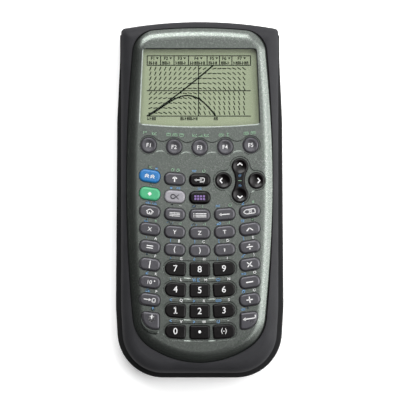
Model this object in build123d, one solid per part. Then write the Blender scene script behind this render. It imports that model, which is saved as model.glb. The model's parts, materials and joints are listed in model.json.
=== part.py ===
from build123d import *
import math
import os

os.makedirs("parts", exist_ok=True)

# A handheld graphing calculator lying face up, with its slide case stored on its back.
# Millimetres. Origin: bottom centre of the case's floor. +X right, +Y to the display end, +Z up.

# ---- Outlines seen from above ----
BODY_HALF_WIDTH = 41.5
DISPLAY_END_Y = 94.0
END_ARC_RADIUS = 230.0
BODY_LOW_Y = -91.2
BODY_LOW_HALF_WIDTH = 39.4
TAPER_START_Y = -57.0
BODY_LOW_CORNER = 21.5
BODY_TOP_CORNER = 2.4
TAPER_BLEND = 90.0
CASE_LOW_Y = -94.0
CASE_LOW_HALF_WIDTH = 42.2
CASE_WIDE_HALF_WIDTH = 44.4
CASE_MOUTH_HALF_WIDTH = 42.2
CASE_MOUTH_Y = 87.3
CASE_LOW_CORNER = 24.3
CASE_SIDE_POINTS = [(42.2, 74.0), (43.7, 42.0)]
FACE_TOP_Y = 90.8
FACE_LOW_Y = -85.5
FACE_WAIST_HALF_WIDTH = 38.5
FACE_WAIST_RISE = 6.2
FACE_SIDE_RADIUS = 750.0
FACE_TOP_RADIUS = 250.0
FACE_LOW_RADIUS = 46.7
FACE_TOP_CORNER_AT = (34.6, 88.4)
FACE_LOW_CORNER_AT = (34.0, -70.8)
FACE_TOP_CORNER = 12.0
FACE_LOW_CORNER = 20.0

# ---- Heights of the stack ----
CASE_FLOOR = 1.8
CASE_RIM_Z = 12.6
BACK_FACE_Z = 4.4
PARTING_Z = 13.0
BOARD_Z = 17.2
BOARD_THICKNESS = 1.4
MEMBRANE_Z = BOARD_Z + BOARD_THICKNESS
MEMBRANE_THICKNESS = 1.0
MEMBRANE_HALF_WIDTH = 33.4
MEMBRANE_Y = (-76.0, 32.2)
BOARD_HALF_WIDTH = 33.4
BOARD_Y = (-77.0, 86.0)
LEDGE_Z = 19.4
LEDGE_TOP_Z = 20.9
RIM_TOP_Z = 24.0
DECK_Z = 25.3
DECK_THICKNESS = 1.8
DECK_UNDER_Z = DECK_Z - DECK_THICKNESS
KEY_TOP_Z = 26.9
LOW_KEY_TOP_Z = 26.6

# ---- Walls, gaps and edge rounding ----
WALL = 2.0
BACK_INSET = 1.6
FACE_GROOVE = 0.35
LEDGE_WIDTH = 2.5
FACE_FOOT = 1.2
FACE_INNER_ROLL = 3.2
RECESS_STEP = 0.65
RECESS_SLOPE = (0.4, 0.2)
WINDOW_SLOPE = (0.6, 0.3)
FACE_ROLL = 8.0
FACE_ROLL_WIDTH = 5.71
RIM_ROLL = 7.0
RIM_ROLL_WIDTH = 6.06
FIT_GAP = 0.3
RAIL_Z = (10.4, 12.0)
RAIL_DEPTH = 0.9
# How far a cutter runs past the surface it cuts.
PAST = 1.0
TRAY_EDGE_RADIUS = 1.6
TONGUE_Z = (PARTING_Z - 1.0, PARTING_Z + 1.6)
TONGUE_GAP = 0.15

# ---- Slide case ----
CASE_WALL = 1.9
CASE_FLANGE = 2.8
CASE_FLOOR_RADIUS = 2.6
CASE_RIM_RADIUS = 0.7
CASE_MOUTH_ROOM = (80.6, 12.0)
CASE_NECK_ROOM = (80.4, 20.0)
CASE_NECK_Y = 92.0
CASE_RAIL_Y = (-48.0, 84.0)
CASE_RAIL_ROOT = 0.3
CASE_RAIL_GAP = 0.2
CASE_RAIL_PLAY = 0.25
CASE_RIB_X = (33.0, 34.5)
CASE_RIB_Y = (-50.0, 80.0)

# ---- Keypad ----
KEY_TRAVEL = 1.0
KEY_GAP = 0.3
COLUMN_PITCH = 13.15
ROW_PITCH = 9.3
FIRST_ROW_Y = 10.6
SMILE_RADIUS = 170.0
KEY_WIDTH = 11.0
KEY_HEIGHT = 6.6
KEY_CORNER = 2.95
KEY_CROWN = 1.1
DIGIT_PITCH = 11.0
FIRST_DIGIT_ROW_Y = -36.65
DIGIT_WIDTH = 10.5
DIGIT_HEIGHT = 7.1
LEFT_DIGIT_WIDTH = 10.7
RIGHT_DIGIT_WIDTH = 11.4
OUTER_DIGIT_X = 12.85
DIGIT_CORNER = 1.3
DIGIT_END_CORNER = 3.5
DIGIT_CROWN = 0.6
DIGIT_SURROUND = 0.85
SOFT_KEY_PITCH = 13.45
SOFT_KEY_Y = 27.7
SOFT_KEY_ARC = 290.0
SOFT_KEY_RADIUS = 3.9
SOFT_HOLE_RADIUS = 4.5
SOFT_DISH = (2.9, 0.3)
SOFT_CHANNEL_LIP = 0.35
SOFT_CHANNEL_WAIST = 2.35
ROUND_KEY_CROWN = 0.5
PAD_CENTRE = (21.2, 10.3)
PAD_SIDE_OFFSET = 8.7
PAD_END_OFFSET = 7.4
PAD_KEY_RADIUS = 4.15
PAD_HOLE_RADIUS = 4.5
PAD_WAIST = 2.25
PAD_LOBE_RADIUS = 5.1
PAD_RECESS_WAIST = 2.8
PAD_DISH = (3.4, 0.7)
ROCKER_GAP = 0.35
PIVOT_Z = 24.4
PIVOT_RADIUS = 3.4
PIVOT_HALF_WIDTH = 2.0
PIVOT_HALF_LENGTH = 2.4
FLANGE_LIP = 0.65
FLANGE_WAIST_LIP = 0.4
FLANGE_THICKNESS = 0.9
FLANGE_TOP_Z = DECK_UNDER_Z - 0.15
ROCKER_FLANGE_TOP_Z = 22.3
PLUNGER_END_Z = 21.2
PLUNGER_RADIUS = 1.6
DOME_TOP_Z = PLUNGER_END_Z - KEY_TRAVEL - 0.1
DOME_RADII = (2.8, 2.0)
MEMBRANE_EDGE_GAP = 1.1
PIVOT_PAD_GAP = 0.05

# ---- Display ----
WINDOW_TOP_Y = 79.5
WINDOW_TOP_HALF = 29.7
WINDOW_LOW_Y = 40.3
WINDOW_LOW_HALF = 31.4
WINDOW_SAG = 1.5
WINDOW_CORNER = 1.2
LENS_Z = (22.1, DECK_UNDER_Z - 0.1)
LENS_LIP = 1.2
LCD_HALF_WIDTH = 32.2
LCD_Y = (37.4, 80.8)
REFLECTOR_THICKNESS = 1.0
GLASS_THICKNESS = 1.1
LCD_CONTACT_LEDGE = 1.0

# ---- Battery bay, ports and screws ----
CELL_RADIUS = 5.25
CELL_LENGTH = 44.5
CELL_PITCH = 10.9
CELL_AXIS_Z = 10.85
BAY_HALF_WIDTH = 24.0
BAY_Y = (-56.0, -5.5)
BAY_ROOF_Z = 16.3
BACKUP_BAY_HALF_WIDTH = 8.0
BACKUP_BAY_Y = (-4.3, 10.0)
BACKUP_BAY_TOP_Z = 13.2
BAY_ROOF_THICKNESS = 0.8
BACKUP_ROOF_THICKNESS = 1.0
BACKUP_CELL_RADIUS = 5.8
BACKUP_CELL_Z = (7.4, 12.8)
BACKUP_COVER_Z = (6.0, 7.0)
BUTTON_RADIUS = 1.9
BUTTON_HEIGHT = 1.0
CONTACT_HALF_WIDTH = 4.0
CONTACT_THICKNESS = 0.6
CONTACT_Z = (7.0, 15.0)
DOOR_THICKNESS = 1.1
DOOR_SEAT_GAP = 0.1
THUMB_HALF_WIDTH = 6.0
THUMB_Y = (4.5, 6.5)
THUMB_DEPTH = 0.5
BACK_FLOOR = 1.8
BAY_WALL = 1.2
END_WALL_Y = (85.0, 96.0)
JACK_OPENING_RADIUS = 2.9
JACK_NOSE_RADIUS = 2.6
JACK_NOSE_LENGTH = 1.0
JACK_HALF_WIDTH = 3.5
JACK_BELOW = 3.1
JACK_BACK_WALL = 1.5
JACK_X = -14.0
JACK_Z = 13.9
JACK_BORE_RADIUS = 1.28
JACK_DEPTH = 11.0
JACK_FACE_Y = 90.6
PORT_X = 12.0
PORT_Z = 14.9
PORT_OPENING = (4.2, 1.9)
PORT_SHELL = (3.9, 1.9)
PORT_SHELL_WALL = 0.5
PORT_Y = (82.0, 91.0)
PORT_TONGUE = (2.4, 0.4)
PORT_TONGUE_Y = (82.5, 89.5)
SCREW_SPOTS = [(35.6, 84.8), (34.3, 34.8), (34.8, -72.0)]
POST_RADIUS = 2.2
SHANK_RADIUS = 1.1
HEAD_RADIUS = 2.1
HEAD_HEIGHT = 1.5
HEAD_SEAT_Z = BACK_FACE_Z + 2.0
SCREW_TIP_Z = 17.5
SCREW_FIT = 0.05
CROSS_SLOT = (1.4, 0.3)
CROSS_DEPTH = 0.7
PILOT_HOLE_Z = (8.0, 18.0)
POST_FOOT_Z = 9.0
POST_TOP_Z = LEDGE_TOP_Z - 0.5
BOSS_WALL = 1.0

# ---- Circuit board ----
BOARD_LOW_CORNER = 16.0
BOARD_TOP_CORNER = 3.0
# Each chip's X range, Y range and height: processor, flash memory, working memory.
CHIPS = [
    ((-22.0, -2.0), (52.0, 72.0), 1.6),
    ((4.0, 22.0), (56.0, 68.0), 1.2),
    ((4.0, 22.0), (40.0, 50.0), 1.2),
]
CRYSTAL_AT = (-14.0, 42.0)
CRYSTAL_RADIUS = 2.0
CRYSTAL_HEIGHT = 3.0


def both_sides(points):
    """The points and their mirror images in X."""
    return [(side * x, y) for side in (1, -1) for x, y in points]


def rounded(face, corners, radius):
    """The face with its vertices nearest the given corners rounded."""
    picked = [face.vertices().sort_by_distance((x, y, 0))[0] for x, y in corners]
    return fillet(picked, radius)


def prism(outline, low, high):
    """The outline raised from one height to another."""
    return extrude(Pos(0, 0, low) * outline, high - low)


def slab(x_range, y_range, z_range):
    """A plain block between the given limits."""
    size = [high - low for low, high in (x_range, y_range, z_range)]
    centre = [(high + low) / 2 for low, high in (x_range, y_range, z_range)]
    return Pos(*centre) * Box(*size)


def post(spot, radius, low, high):
    """An upright cylinder."""
    return Pos(spot[0], spot[1], (low + high) / 2) * Cylinder(radius, high - low)


def crowned(solid, radius):
    """The solid with the edges of its top face rounded."""
    return fillet(solid.faces().sort_by(Axis.Z)[-1].edges(), radius)


def body_outline():
    """Outer outline of the calculator's two housing shells."""
    end_y = DISPLAY_END_Y - END_ARC_RADIUS
    end_y += math.sqrt(END_ARC_RADIUS**2 - BODY_HALF_WIDTH**2)
    half = BODY_HALF_WIDTH
    low = BODY_LOW_HALF_WIDTH
    arc = ThreePointArc((-half, end_y), (0, DISPLAY_END_Y), (half, end_y))
    sides = Polyline(
        (half, end_y), (half, TAPER_START_Y), (low, BODY_LOW_Y),
        (-low, BODY_LOW_Y), (-half, TAPER_START_Y), (-half, end_y),
    )
    face = make_face(arc + sides)
    face = rounded(face, both_sides([(half, end_y)]), BODY_TOP_CORNER)
    face = rounded(face, both_sides([(low, BODY_LOW_Y)]), BODY_LOW_CORNER)
    return rounded(face, both_sides([(half, TAPER_START_Y)]), TAPER_BLEND)


def case_outline():
    """Outer outline of the slide case, open at the display end and widest near its closed end."""
    right = [
        (CASE_MOUTH_HALF_WIDTH, CASE_MOUTH_Y),
        *CASE_SIDE_POINTS,
        (CASE_WIDE_HALF_WIDTH, TAPER_START_Y),
        (CASE_LOW_HALF_WIDTH, CASE_LOW_Y),
    ]
    left = [(-x, y) for x, y in reversed(right)]
    face = make_face(Polyline(*right, *left, close=True))
    face = rounded(face, both_sides(right[4:]), CASE_LOW_CORNER)
    return rounded(face, both_sides(right[1:4]), TAPER_BLEND)


def face_outline(grow=0.0):
    """Outline of the metallic faceplate, grown all round: bowed sides, shallow top arc, deep lower arc."""
    waist_y = (FACE_TOP_Y + FACE_LOW_Y) / 2 + FACE_WAIST_RISE
    side_disc = Circle(FACE_SIDE_RADIUS + grow)
    face = Pos(FACE_WAIST_HALF_WIDTH - FACE_SIDE_RADIUS, waist_y, 0) * side_disc
    face &= Pos(FACE_SIDE_RADIUS - FACE_WAIST_HALF_WIDTH, waist_y, 0) * side_disc
    face &= Pos(0, FACE_TOP_Y - FACE_TOP_RADIUS, 0) * Circle(FACE_TOP_RADIUS + grow)
    low_centre_y = FACE_LOW_Y + FACE_LOW_RADIUS
    tall = DISPLAY_END_Y - low_centre_y + 10
    low_end = Pos(0, low_centre_y, 0) * Circle(FACE_LOW_RADIUS + grow)
    low_end += Pos(0, low_centre_y + tall / 2, 0) * Rectangle(2 * (FACE_LOW_RADIUS + grow), tall)
    face &= low_end
    face = rounded(face, both_sides([FACE_TOP_CORNER_AT]), FACE_TOP_CORNER + grow)
    return rounded(face, both_sides([FACE_LOW_CORNER_AT]), FACE_LOW_CORNER + grow)


def rolled(outline, wide_outline, z_range, roll):
    """A plate whose top edge rolls over; the wider outline's roll is cut off where the outline ends."""
    low, high = z_range
    tall = prism(wide_outline, min(low, high - roll - 1), high)
    return crowned(tall, roll) & prism(outline, low, high)


def link(p, q, lobe_radius, waist):
    """The strip between two round lobes, waisted by an arc on each side that meets both lobes."""
    (px, py), (qx, qy) = p, q
    half = math.hypot(qx - px, qy - py) / 2
    arc_radius = (waist**2 + half**2 - lobe_radius**2) / (2 * (lobe_radius - waist))
    mid_x, mid_y = (px + qx) / 2, (py + qy) / 2
    across = ((py - qy) / (2 * half), (qx - px) / (2 * half))
    reach = waist + arc_radius
    sides = [(mid_x + s * reach * across[0], mid_y + s * reach * across[1]) for s in (1, -1)]
    strip = make_face(Polyline(p, sides[0], q, sides[1], close=True))
    for side in sides:
        strip -= Pos(*side) * Circle(arc_radius)
    return strip


def smile(x, base_y, radius):
    """Height and tilt of a key at x on a row that curves up towards both sides."""
    y = base_y + radius - math.sqrt(radius**2 - x**2)
    return Location((x, y, 0), (0, 0, math.degrees(math.asin(x / radius))))


def pad_spot(dx, dy):
    """A point given from the centre of the cursor pad."""
    return (PAD_CENTRE[0] + dx, PAD_CENTRE[1] + dy)


LEFT_LOBE = pad_spot(-PAD_SIDE_OFFSET, 0)
RIGHT_LOBE = pad_spot(PAD_SIDE_OFFSET, 0)
UP_LOBE = pad_spot(0, PAD_END_OFFSET)
DOWN_LOBE = pad_spot(0, -PAD_END_OFFSET)

FUNCTION_ROWS = [
    ["second_key", "shift_key", "escape_key"],
    ["diamond_key", "alpha_key", "apps_key"],
    ["home_key", "mode_key", "catalog_key", "backspace_key", "clear_key"],
    ["x_key", "y_key", "z_key", "t_key", "power_key"],
    ["equals_key", "open_bracket_key", "close_bracket_key", "comma_key", "divide_key"],
    ["bar_key", None, None, None, "multiply_key"],
    ["exponent_key", None, None, None, "subtract_key"],
    ["store_key", None, None, None, "add_key"],
]
DIGIT_ROWS = [
    ["digit_7_key", "digit_8_key", "digit_9_key"],
    ["digit_4_key", "digit_5_key", "digit_6_key"],
    ["digit_1_key", "digit_2_key", "digit_3_key"],
    ["digit_0_key", "decimal_key", "negate_key"],
]
# The two bottom corner keys follow the faceplate's lower curve. Right-hand one; the other mirrors it.
CORNER_KEY = [(30.5, -58.4), (21.2, -59.5), (21.2, -68.2), (30.5, -68.2)]
CORNER_KEY_ROUNDING = [1.8, 1.4, 1.4, 7.2]
CORNER_KEY_CENTRE = (25.8, -63.4)
# The crescent ridge under the ON key lies between two shifted copies of the key's outline.
CRESCENT_OUTER_SHIFT = (-0.4, -2.65)
CRESCENT_INNER_SHIFT = (-0.1, -0.75)
CRESCENT_OUTER_SLOPE = (0.9, 0.65)
CRESCENT_INNER_SLOPE = (0.5, 0.65)
CRESCENT_ROOT = 0.4


def digit_outline(column):
    """Digit key outline: square-shouldered, the outer two with one fully rounded end."""
    width = (LEFT_DIGIT_WIDTH, DIGIT_WIDTH, RIGHT_DIGIT_WIDTH)[column + 1]
    face = Sketch() + Rectangle(width, DIGIT_HEIGHT)
    half, tall = width / 2, DIGIT_HEIGHT / 2
    for side in (-1, 1):
        radius = DIGIT_END_CORNER if column == side else DIGIT_CORNER
        face = rounded(face, [(side * half, tall), (side * half, -tall)], radius)
    return face


def corner_outline(side):
    """Outline of the ON key (side -1) or the ENTER key (side 1)."""
    face = make_face(Polyline(*[(side * x, y) for x, y in CORNER_KEY], close=True))
    for (x, y), radius in zip(CORNER_KEY, CORNER_KEY_ROUNDING):
        face = rounded(face, [(side * x, y)], radius)
    return face


def corner_centre(side):
    return (side * CORNER_KEY_CENTRE[0], CORNER_KEY_CENTRE[1])


def layout():
    """Every sliding key: its outline in place, its plunger spot and its cap's rounding."""
    keys = {}
    for row, names in enumerate(FUNCTION_ROWS):
        for column, name in enumerate(names):
            if name:
                x = (column - 2) * COLUMN_PITCH
                place = smile(x, FIRST_ROW_Y - row * ROW_PITCH, SMILE_RADIUS)
                outline = place * RectangleRounded(KEY_WIDTH, KEY_HEIGHT, KEY_CORNER)
                keys[name] = (outline, (x, place.position.Y), KEY_CROWN)
    for row, names in enumerate(DIGIT_ROWS):
        for column, name in zip((-1, 0, 1), names):
            x = column * OUTER_DIGIT_X
            place = smile(x, FIRST_DIGIT_ROW_Y - row * DIGIT_PITCH, SMILE_RADIUS)
            keys[name] = (place * digit_outline(column), (x, place.position.Y), DIGIT_CROWN)
    for side, name in ((-1, "on_key"), (1, "enter_key")):
        keys[name] = (corner_outline(side), corner_centre(side), KEY_CROWN)
    return keys


def soft_key_spots():
    """Centres of the five round keys under the display."""
    places = [smile(i * SOFT_KEY_PITCH, SOFT_KEY_Y, SOFT_KEY_ARC) for i in range(-2, 3)]
    return [(place.position.X, place.position.Y) for place in places]


def rocker_outline(radius, waist):
    """The two-lobed outline of the up-down rocker."""
    face = link(UP_LOBE, DOWN_LOBE, radius, waist)
    for lobe in (UP_LOBE, DOWN_LOBE):
        face += Pos(*lobe) * Circle(radius)
    return face


def dished(cap, spot, top_z, radius, depth):
    """The cap with a shallow round finger dish."""
    ball = (radius**2 + depth**2) / (2 * depth)
    return cap - Pos(spot[0], spot[1], top_z - depth + ball) * Sphere(ball)


def key_solid(outline, spot, crown):
    """A key: crowned cap, retaining flange below the faceplate, and plunger."""
    cap = crowned(prism(outline, FLANGE_TOP_Z, LOW_KEY_TOP_Z), crown)
    flange = prism(offset(outline, FLANGE_LIP), FLANGE_TOP_Z - FLANGE_THICKNESS, FLANGE_TOP_Z)
    return cap + flange + post(spot, PLUNGER_RADIUS, PLUNGER_END_Z, FLANGE_TOP_Z)


def round_key(spot, radius, top_z, dish_radius, dish_depth):
    """A round key with a dished cap."""
    cap = crowned(post(spot, radius, FLANGE_TOP_Z, top_z), ROUND_KEY_CROWN)
    cap = dished(cap, spot, top_z, dish_radius, dish_depth)
    cap += post(spot, radius + FLANGE_LIP, FLANGE_TOP_Z - FLANGE_THICKNESS, FLANGE_TOP_Z)
    return cap + post(spot, PLUNGER_RADIUS, PLUNGER_END_Z, FLANGE_TOP_Z)


def rocker_key():
    """The up and down cursor keys, one cap that tips about its middle."""
    outline = rocker_outline(PAD_KEY_RADIUS, PAD_WAIST)
    cap = crowned(prism(outline, ROCKER_FLANGE_TOP_Z, KEY_TOP_Z), ROUND_KEY_CROWN)
    flange = rocker_outline(PAD_KEY_RADIUS + FLANGE_LIP, PAD_WAIST + FLANGE_WAIST_LIP)
    cap += prism(flange, ROCKER_FLANGE_TOP_Z - FLANGE_THICKNESS, ROCKER_FLANGE_TOP_Z)
    for lobe in (UP_LOBE, DOWN_LOBE):
        cap = dished(cap, lobe, KEY_TOP_Z, *PAD_DISH)
        cap += post(lobe, PLUNGER_RADIUS, PLUNGER_END_Z, ROCKER_FLANGE_TOP_Z)
    return cap + rocker_pivot()


def rocker_pivot():
    """Round-bottomed foot under the rocker's middle, centred on its tipping axis."""
    (x, y), half, reach = PAD_CENTRE, PIVOT_HALF_WIDTH, PIVOT_HALF_LENGTH
    drum = Pos(x, y, PIVOT_Z) * Rot(0, 90, 0) * Cylinder(PIVOT_RADIUS, 2 * half)
    z_range = (PIVOT_Z - PIVOT_RADIUS - PAST, ROCKER_FLANGE_TOP_Z)
    return drum & slab((x - half, x + half), (y - reach, y + reach), z_range)


def clover_recess():
    """Four-lobed step round the cursor pad."""
    lobes = [LEFT_LOBE, UP_LOBE, RIGHT_LOBE, DOWN_LOBE]
    face = make_face(Polyline(*lobes, close=True))
    for here, there in zip(lobes, lobes[1:] + lobes[:1]):
        face += link(here, there, PAD_LOBE_RADIUS, PAD_RECESS_WAIST)
        face += Pos(*here) * Circle(PAD_LOBE_RADIUS)
    return face


def soft_key_channel():
    """The wavy channel that joins the five round keys."""
    spots = soft_key_spots()
    radius = SOFT_HOLE_RADIUS + SOFT_CHANNEL_LIP
    face = Sketch()
    for here, there in zip(spots, spots[1:]):
        face += link(here, there, radius, SOFT_CHANNEL_WAIST)
    for spot in spots:
        face += Pos(*spot) * Circle(radius)
    return face


def digit_row_recess(row):
    """The shared step round one row of digit keys: a curved band with round ends."""
    base_y = FIRST_DIGIT_ROW_Y - row * DIGIT_PITCH
    half_tall = DIGIT_HEIGHT / 2 + DIGIT_SURROUND
    left = OUTER_DIGIT_X + LEFT_DIGIT_WIDTH / 2 + DIGIT_SURROUND
    right = OUTER_DIGIT_X + RIGHT_DIGIT_WIDTH / 2 + DIGIT_SURROUND
    middle = Pos(0, base_y + SMILE_RADIUS, 0)
    band = middle * Circle(SMILE_RADIUS + half_tall) - middle * Circle(SMILE_RADIUS - half_tall)
    band &= Pos((right - left) / 2, base_y, 0) * Rectangle(left + right, 3 * half_tall)
    return fillet(band.vertices(), DIGIT_END_CORNER + DIGIT_SURROUND - 0.1)


def sloped_edge(outline, slope, top=DECK_Z):
    """Cutter that gives an opening a sloped upper edge of the given width and drop."""
    width, drop = slope
    plate = prism(offset(outline, width), top - drop, top + PAST)
    base = plate.faces().sort_by(Axis.Z)[0]
    return chamfer(base.edges(), width - 0.01, drop - 0.005, reference=base)


def crescent_ridge():
    """The ridge under the ON key that guards it against stray fingers."""
    outline = corner_outline(-1)
    width, height = CRESCENT_OUTER_SLOPE
    mound = prism(Pos(*CRESCENT_OUTER_SHIFT) * outline, DECK_Z - CRESCENT_ROOT, DECK_Z + height)
    top = mound.faces().sort_by(Axis.Z)[-1]
    mound = chamfer(top.edges(), width, height - 0.01, reference=top)
    hollow = Pos(*CRESCENT_INNER_SHIFT) * offset(outline, KEY_GAP)
    return mound - sloped_edge(hollow, CRESCENT_INNER_SLOPE, DECK_Z + height)


def window_outline():
    """The display opening: slightly wider at the bottom, with a bowed lower edge."""
    top, low = WINDOW_TOP_HALF, WINDOW_LOW_HALF
    sides = Polyline((-low, WINDOW_LOW_Y), (-top, WINDOW_TOP_Y), (top, WINDOW_TOP_Y), (low, WINDOW_LOW_Y))
    bow = ThreePointArc((low, WINDOW_LOW_Y), (0, WINDOW_LOW_Y - WINDOW_SAG), (-low, WINDOW_LOW_Y))
    face = make_face(sides + bow)
    return rounded(face, both_sides([(top, WINDOW_TOP_Y), (low, WINDOW_LOW_Y)]), WINDOW_CORNER)


def faceplate(keys):
    """The metallic cover that frames the display and guides every key."""
    wide = face_outline(FACE_ROLL - FACE_ROLL_WIDTH)
    plate = rolled(face_outline(), wide, (LEDGE_TOP_Z, DECK_Z), FACE_ROLL)
    inner = prism(face_outline(-FACE_FOOT), LEDGE_TOP_Z - PAST, DECK_UNDER_Z)
    plate -= crowned(inner, FACE_INNER_ROLL)
    recesses = [clover_recess(), soft_key_channel()]
    recesses += [digit_row_recess(row) for row in range(len(DIGIT_ROWS))]
    cutters = [prism(recess, DECK_Z - RECESS_STEP, DECK_Z + PAST) for recess in recesses]
    cutters += [sloped_edge(recess, RECESS_SLOPE) for recess in recesses]
    cutters.append(sloped_edge(window_outline(), WINDOW_SLOPE))
    plate -= cutters
    plate += crescent_ridge()
    holes = [offset(outline, KEY_GAP) for outline, _, _ in keys.values()]
    holes += [Pos(*spot) * Circle(SOFT_HOLE_RADIUS) for spot in soft_key_spots()]
    holes += [Pos(*spot) * Circle(PAD_HOLE_RADIUS) for spot in (LEFT_LOBE, RIGHT_LOBE)]
    holes += [rocker_outline(PAD_HOLE_RADIUS, PAD_WAIST + ROCKER_GAP), window_outline()]
    return plate - [prism(hole, DECK_UNDER_Z - PAST, DECK_Z + PAST) for hole in holes]


def display_window():
    """Clear scratch shield bonded under the faceplate."""
    return prism(offset(window_outline(), LENS_LIP), *LENS_Z)


def lcd_module():
    """Reflector, rear glass and front glass; the rear glass reaches further down, for its contacts."""
    wide = (-LCD_HALF_WIDTH, LCD_HALF_WIDTH)
    low, high = LCD_Y
    reflector_top = MEMBRANE_Z + REFLECTOR_THICKNESS
    rear_top = reflector_top + GLASS_THICKNESS
    reflector = slab(wide, LCD_Y, (MEMBRANE_Z, reflector_top))
    rear_glass = slab(wide, LCD_Y, (reflector_top, rear_top))
    front_glass = slab(wide, (low + LCD_CONTACT_LEDGE, high), (rear_top, rear_top + GLASS_THICKNESS))
    return Compound(children=[reflector, rear_glass, front_glass])


def screw_spots():
    return both_sides(SCREW_SPOTS)


def port_block(half_size, y_range):
    """A block of the given half width and half height about the port's centre line."""
    half, tall = half_size
    return slab((PORT_X - half, PORT_X + half), y_range, (PORT_Z - tall, PORT_Z + tall))


def with_port_openings(shape):
    """The shell with the two port openings cut through its display-end wall."""
    low, high = END_WALL_Y
    jack = Pos(JACK_X, (low + high) / 2, JACK_Z) * Rot(90, 0, 0) * Cylinder(JACK_OPENING_RADIUS, high - low)
    return shape - jack - port_block(PORT_OPENING, END_WALL_Y)


def front_housing():
    """Upper shell: rolled rim, recess and ledge for the faceplate, screw posts inside."""
    outline = body_outline()
    wide = offset(outline, RIM_ROLL - RIM_ROLL_WIDTH)
    shell = rolled(outline, wide, (PARTING_Z, RIM_TOP_Z), RIM_ROLL)
    shell -= prism(face_outline(FACE_GROOVE), LEDGE_TOP_Z, RIM_TOP_Z + PAST)
    shell -= prism(face_outline(-LEDGE_WIDTH), PARTING_Z - PAST, RIM_TOP_Z)
    shell -= prism(offset(outline, -WALL), PARTING_Z - PAST, LEDGE_Z)
    shell = with_port_openings(shell)
    for spot in screw_spots():
        shell += post(spot, POST_RADIUS, POST_FOOT_Z, POST_TOP_Z)
        shell -= post(spot, SHANK_RADIUS, *PILOT_HOLE_Z)
    return shell


def back_outline():
    return offset(body_outline(), -BACK_INSET)


def cell_bays():
    """The space for the four cells and the smaller one for the backup cell."""
    main = slab((-BAY_HALF_WIDTH, BAY_HALF_WIDTH), BAY_Y, (BACK_FACE_Z - PAST, BAY_ROOF_Z))
    half = BACKUP_BAY_HALF_WIDTH
    backup = slab((-half, half), BACKUP_BAY_Y, (BACK_FACE_Z - PAST, BACKUP_BAY_TOP_Z))
    return main, backup


def door_recess():
    """The shallow opening in the back that the battery door fills."""
    half = BAY_HALF_WIDTH
    z_range = (BACK_FACE_Z - PAST, BACK_FACE_Z + DOOR_THICKNESS + DOOR_SEAT_GAP)
    return slab((-half, half), (BAY_Y[0], BACKUP_BAY_Y[1]), z_range)


def back_housing():
    """Lower shell: tray, battery bays, screw bosses, alignment tongue and side grooves for the case."""
    outline = back_outline()
    tray = prism(outline, BACK_FACE_Z, PARTING_Z)
    tray = fillet(tray.faces().sort_by(Axis.Z)[0].edges(), TRAY_EDGE_RADIUS)
    tray -= prism(offset(outline, -WALL), BACK_FACE_Z + BACK_FLOOR, PARTING_Z + PAST)
    tongue = prism(offset(body_outline(), -WALL - TONGUE_GAP), *TONGUE_Z)
    tongue -= prism(offset(outline, -WALL), TONGUE_Z[0] - PAST, TONGUE_Z[1] + PAST)
    tray += tongue & prism(outline, *TONGUE_Z)
    tray -= prism(offset(outline, PAST), *RAIL_Z) - prism(offset(outline, -RAIL_DEPTH), *RAIL_Z)
    half = BAY_HALF_WIDTH + BAY_WALL
    y_range = (BAY_Y[0] - BAY_WALL, BAY_Y[1] + BAY_WALL)
    tray += slab((-half, half), y_range, (BACK_FACE_Z, BAY_ROOF_Z + BAY_ROOF_THICKNESS))
    half = BACKUP_BAY_HALF_WIDTH + BAY_WALL
    y_range = (BAY_Y[1], BACKUP_BAY_Y[1] + BAY_WALL)
    tray += slab((-half, half), y_range, (BACK_FACE_Z, BACKUP_BAY_TOP_Z + BACKUP_ROOF_THICKNESS))
    for bay in cell_bays():
        tray -= bay
    tray -= door_recess()
    for spot in screw_spots():
        tray += post(spot, POST_RADIUS + BOSS_WALL, BACK_FACE_Z + PAST, POST_FOOT_Z)
        tray -= post(spot, SHANK_RADIUS + 0.1, BACK_FACE_Z - PAST, POST_FOOT_Z + PAST)
        tray -= post(spot, HEAD_RADIUS + 0.2, BACK_FACE_Z - PAST, HEAD_SEAT_Z)
        tray -= post(spot, POST_RADIUS + FIT_GAP, POST_FOOT_Z, TONGUE_Z[1] + PAST)
    half = BACKUP_BAY_HALF_WIDTH - FIT_GAP
    y_range = (BACKUP_BAY_Y[0] + FIT_GAP, BACKUP_BAY_Y[1] - FIT_GAP)
    cover = slab((-half, half), y_range, BACKUP_COVER_Z)
    return Compound(children=[with_port_openings(tray), cover])


def battery_door():
    """Door over the cells, with a round hinge edge at its lower end and a thumb notch."""
    half = BAY_HALF_WIDTH - FIT_GAP
    hinge_radius = DOOR_THICKNESS / 2
    hinge_y = BAY_Y[0] + FIT_GAP + hinge_radius
    z_range = (BACK_FACE_Z, BACK_FACE_Z + DOOR_THICKNESS)
    door = slab((-half, half), (hinge_y, BACKUP_BAY_Y[1] - FIT_GAP), z_range)
    door += Pos(0, hinge_y, BACK_FACE_Z + hinge_radius) * Rot(0, 90, 0) * Cylinder(hinge_radius, 2 * half)
    thumb_z = (BACK_FACE_Z - PAST, BACK_FACE_Z + THUMB_DEPTH)
    return door - slab((-THUMB_HALF_WIDTH, THUMB_HALF_WIDTH), THUMB_Y, thumb_z)


def cell(x):
    """One AAA cell with its positive button at alternating ends."""
    y_mid = (BAY_Y[0] + BAY_Y[1]) / 2
    can_length = CELL_LENGTH - BUTTON_HEIGHT
    can = Pos(x, y_mid, CELL_AXIS_Z) * Rot(90, 0, 0) * Cylinder(CELL_RADIUS, can_length)
    end = y_mid + math.copysign(can_length / 2, x)
    button = Pos(x, end, CELL_AXIS_Z) * Rot(90, 0, 0) * Cylinder(BUTTON_RADIUS, 2 * BUTTON_HEIGHT)
    return can + button


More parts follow.
